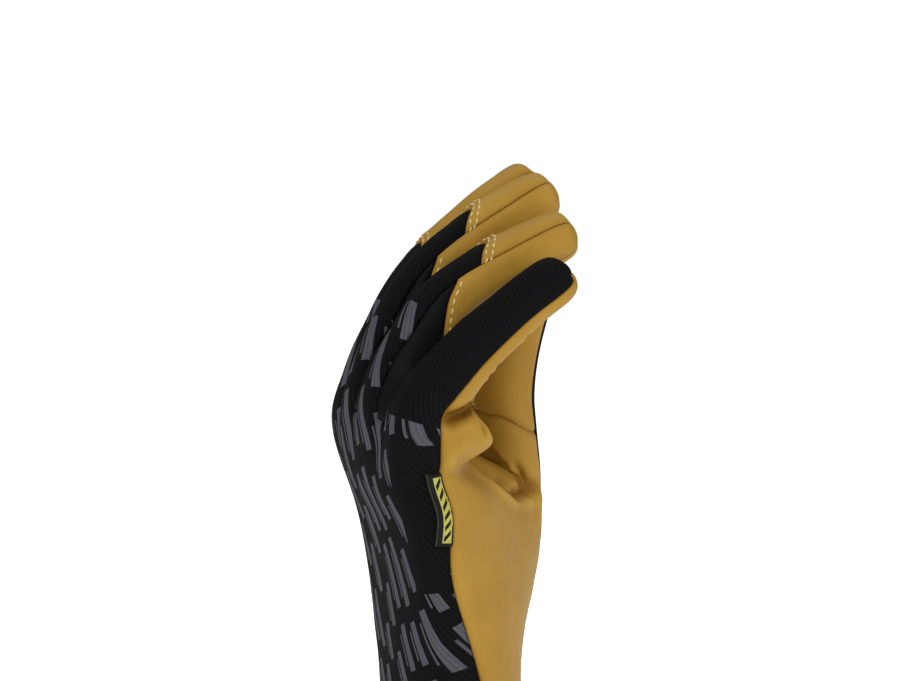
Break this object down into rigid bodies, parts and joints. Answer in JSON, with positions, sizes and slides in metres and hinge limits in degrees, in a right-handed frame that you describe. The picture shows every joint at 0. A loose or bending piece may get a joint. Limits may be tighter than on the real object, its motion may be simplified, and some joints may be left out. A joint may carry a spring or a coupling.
{
  "type": "mechanic glove",
  "caption": "Right-hand work glove in its worn, lightly curled shape: black knit back, tan leather palm and fingertips, stretch gussets.",
  "frame": {"origin": "centre of the wrist opening, in the plane of the cuff's edge", "axes": "+X toward the palm side, +Y toward the thumb side, +Z from the wrist toward the fingertips"},
  "size_m": [0.0756, 0.0867, 0.2109],
  "materials": {
    "black_knit": "ribbed black knit with a grey print of slanted bars",
    "tan_leather": "smooth tan leather, soft sheen",
    "grey_stretch": "smooth dark grey stretch cloth",
    "black_binding": "plain black elastic binding",
    "label": "woven black tag with plain yellow bars"
  },
  "bodies": {
    "root": {"back_of_hand": "black_knit", "palm_leather": "tan_leather", "thumb_back": "black_knit", "thumb_front": "tan_leather", "cuff_hem": "black_binding", "gusset_ring_little": "grey_stretch", "gusset_middle_ring": "grey_stretch", "gusset_index_middle": "grey_stretch", "side_little_radial": "tan_leather", "side_ring_ulnar": "tan_leather", "side_ring_radial": "tan_leather", "side_middle_ulnar": "tan_leather", "side_middle_radial": "tan_leather", "side_index_ulnar": "tan_leather", "tip_back_ring": "tan_leather", "tip_back_middle": "tan_leather", "tip_back_index": "tan_leather", "side_label": "label"}
  },
  "joints": []
}
